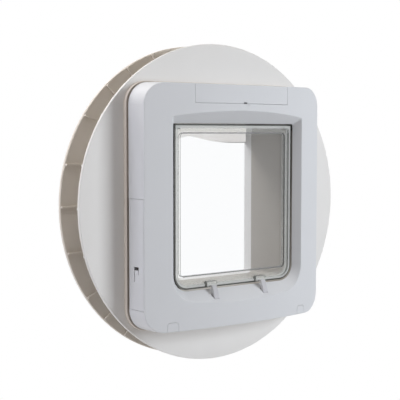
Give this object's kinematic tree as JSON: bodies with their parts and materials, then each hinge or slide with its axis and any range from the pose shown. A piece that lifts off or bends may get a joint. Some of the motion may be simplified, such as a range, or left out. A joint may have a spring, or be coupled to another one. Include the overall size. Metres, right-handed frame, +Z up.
{
  "type": "cat flap",
  "caption": "Pet flap for a pane: a clear swinging panel in a crowned bezel, clamped between round discs, with lock claws in the sill, battery covers and a control hatch.",
  "frame": {"origin": "on the tunnel's axis, on the pane side of the inner disc", "axes": "+X right seen from the room, +Y through the pane to the outdoors, +Z up"},
  "size_m": [0.3879, 0.119, 0.388],
  "materials": {
    "bezel_abs": "moulded ABS, fine satin texture",
    "housing_abs": "moulded ABS, satin",
    "tunnel_abs": "moulded ABS, smooth",
    "disc_abs": "moulded ABS, satin",
    "frame_abs": "moulded ABS, satin",
    "clear_flap": "clear moulded polycarbonate, polished",
    "steel": "zinc plated",
    "claw_nylon": "natural nylon",
    "motor_case": "moulded, dark",
    "panel_abs": "moulded ABS, satin",
    "board": "glass-fibre laminate with solder mask",
    "black_plastic": "moulded, dark",
    "button": "moulded, smooth",
    "light_lens": "clear tinted lens",
    "cell_wrap": "plain printed film over a can",
    "coil_wire": "enamelled copper"
  },
  "bodies": {
    "root": {"front_bezel": "bezel_abs", "screw_cover_left": "bezel_abs", "screw_cover_right": "bezel_abs", "rear_housing": "housing_abs", "tunnel": "tunnel_abs", "inner_disc": "disc_abs", "outer_disc": "disc_abs", "outer_frame": "frame_abs", "lock_motor": "motor_case", "control_panel": "panel_abs", "circuit_board": "board", "button_switch": "black_plastic", "status_light": "light_lens", "battery_cell_left_upper": "cell_wrap", "battery_cell_left_lower": "cell_wrap", "battery_cell_right_upper": "cell_wrap", "battery_cell_right_lower": "cell_wrap", "battery_contacts": "steel", "battery_springs": "steel", "clamp_screws": "steel", "bezel_screws": "steel", "disc_screws": "steel", "reader_coil": "coil_wire", "presence_sensor": "black_plastic"},
    "flap": {"flap": "clear_flap", "hinge_pins": "steel"},
    "lock": {"lock_shaft": "steel", "lock_claw_left": "claw_nylon", "lock_claw_right": "claw_nylon"},
    "hatch": {"hatch": "bezel_abs"},
    "button": {"learn_button": "button"},
    "battery_cover_left": {"battery_cover_left": "bezel_abs"},
    "battery_cover_right": {"battery_cover_right": "bezel_abs"}
  },
  "joints": [
    {"name": "flap_swing", "type": "hinge", "parent": "root", "child": "flap", "pos_m": [0, -0.036, 0.092], "axis": [1, 0, 0], "range_deg": [0, 70]},
    {"name": "lock_turn", "type": "hinge", "parent": "root", "child": "lock", "pos_m": [0, -0.02025, -0.112], "axis": [1, 0, 0], "range_deg": [0, 25]},
    {"name": "hatch_open", "type": "hinge", "parent": "root", "child": "hatch", "pos_m": [0, -0.051, 0.14063], "axis": [-1, 0, 0], "range_deg": [0, 90]},
    {"name": "button_press", "type": "slide", "parent": "root", "child": "button", "axis": [0, 1, 0], "range_m": [0, 0.0008], "stiffness_N_per_m": 300},
    {"name": "battery_cover_left_off", "type": "slide", "parent": "root", "child": "battery_cover_left", "axis": [-1, 0, 0], "range_m": [0, 0.03]},
    {"name": "battery_cover_right_off", "type": "slide", "parent": "root", "child": "battery_cover_right", "axis": [1, 0, 0], "range_m": [0, 0.03]}
  ]
}
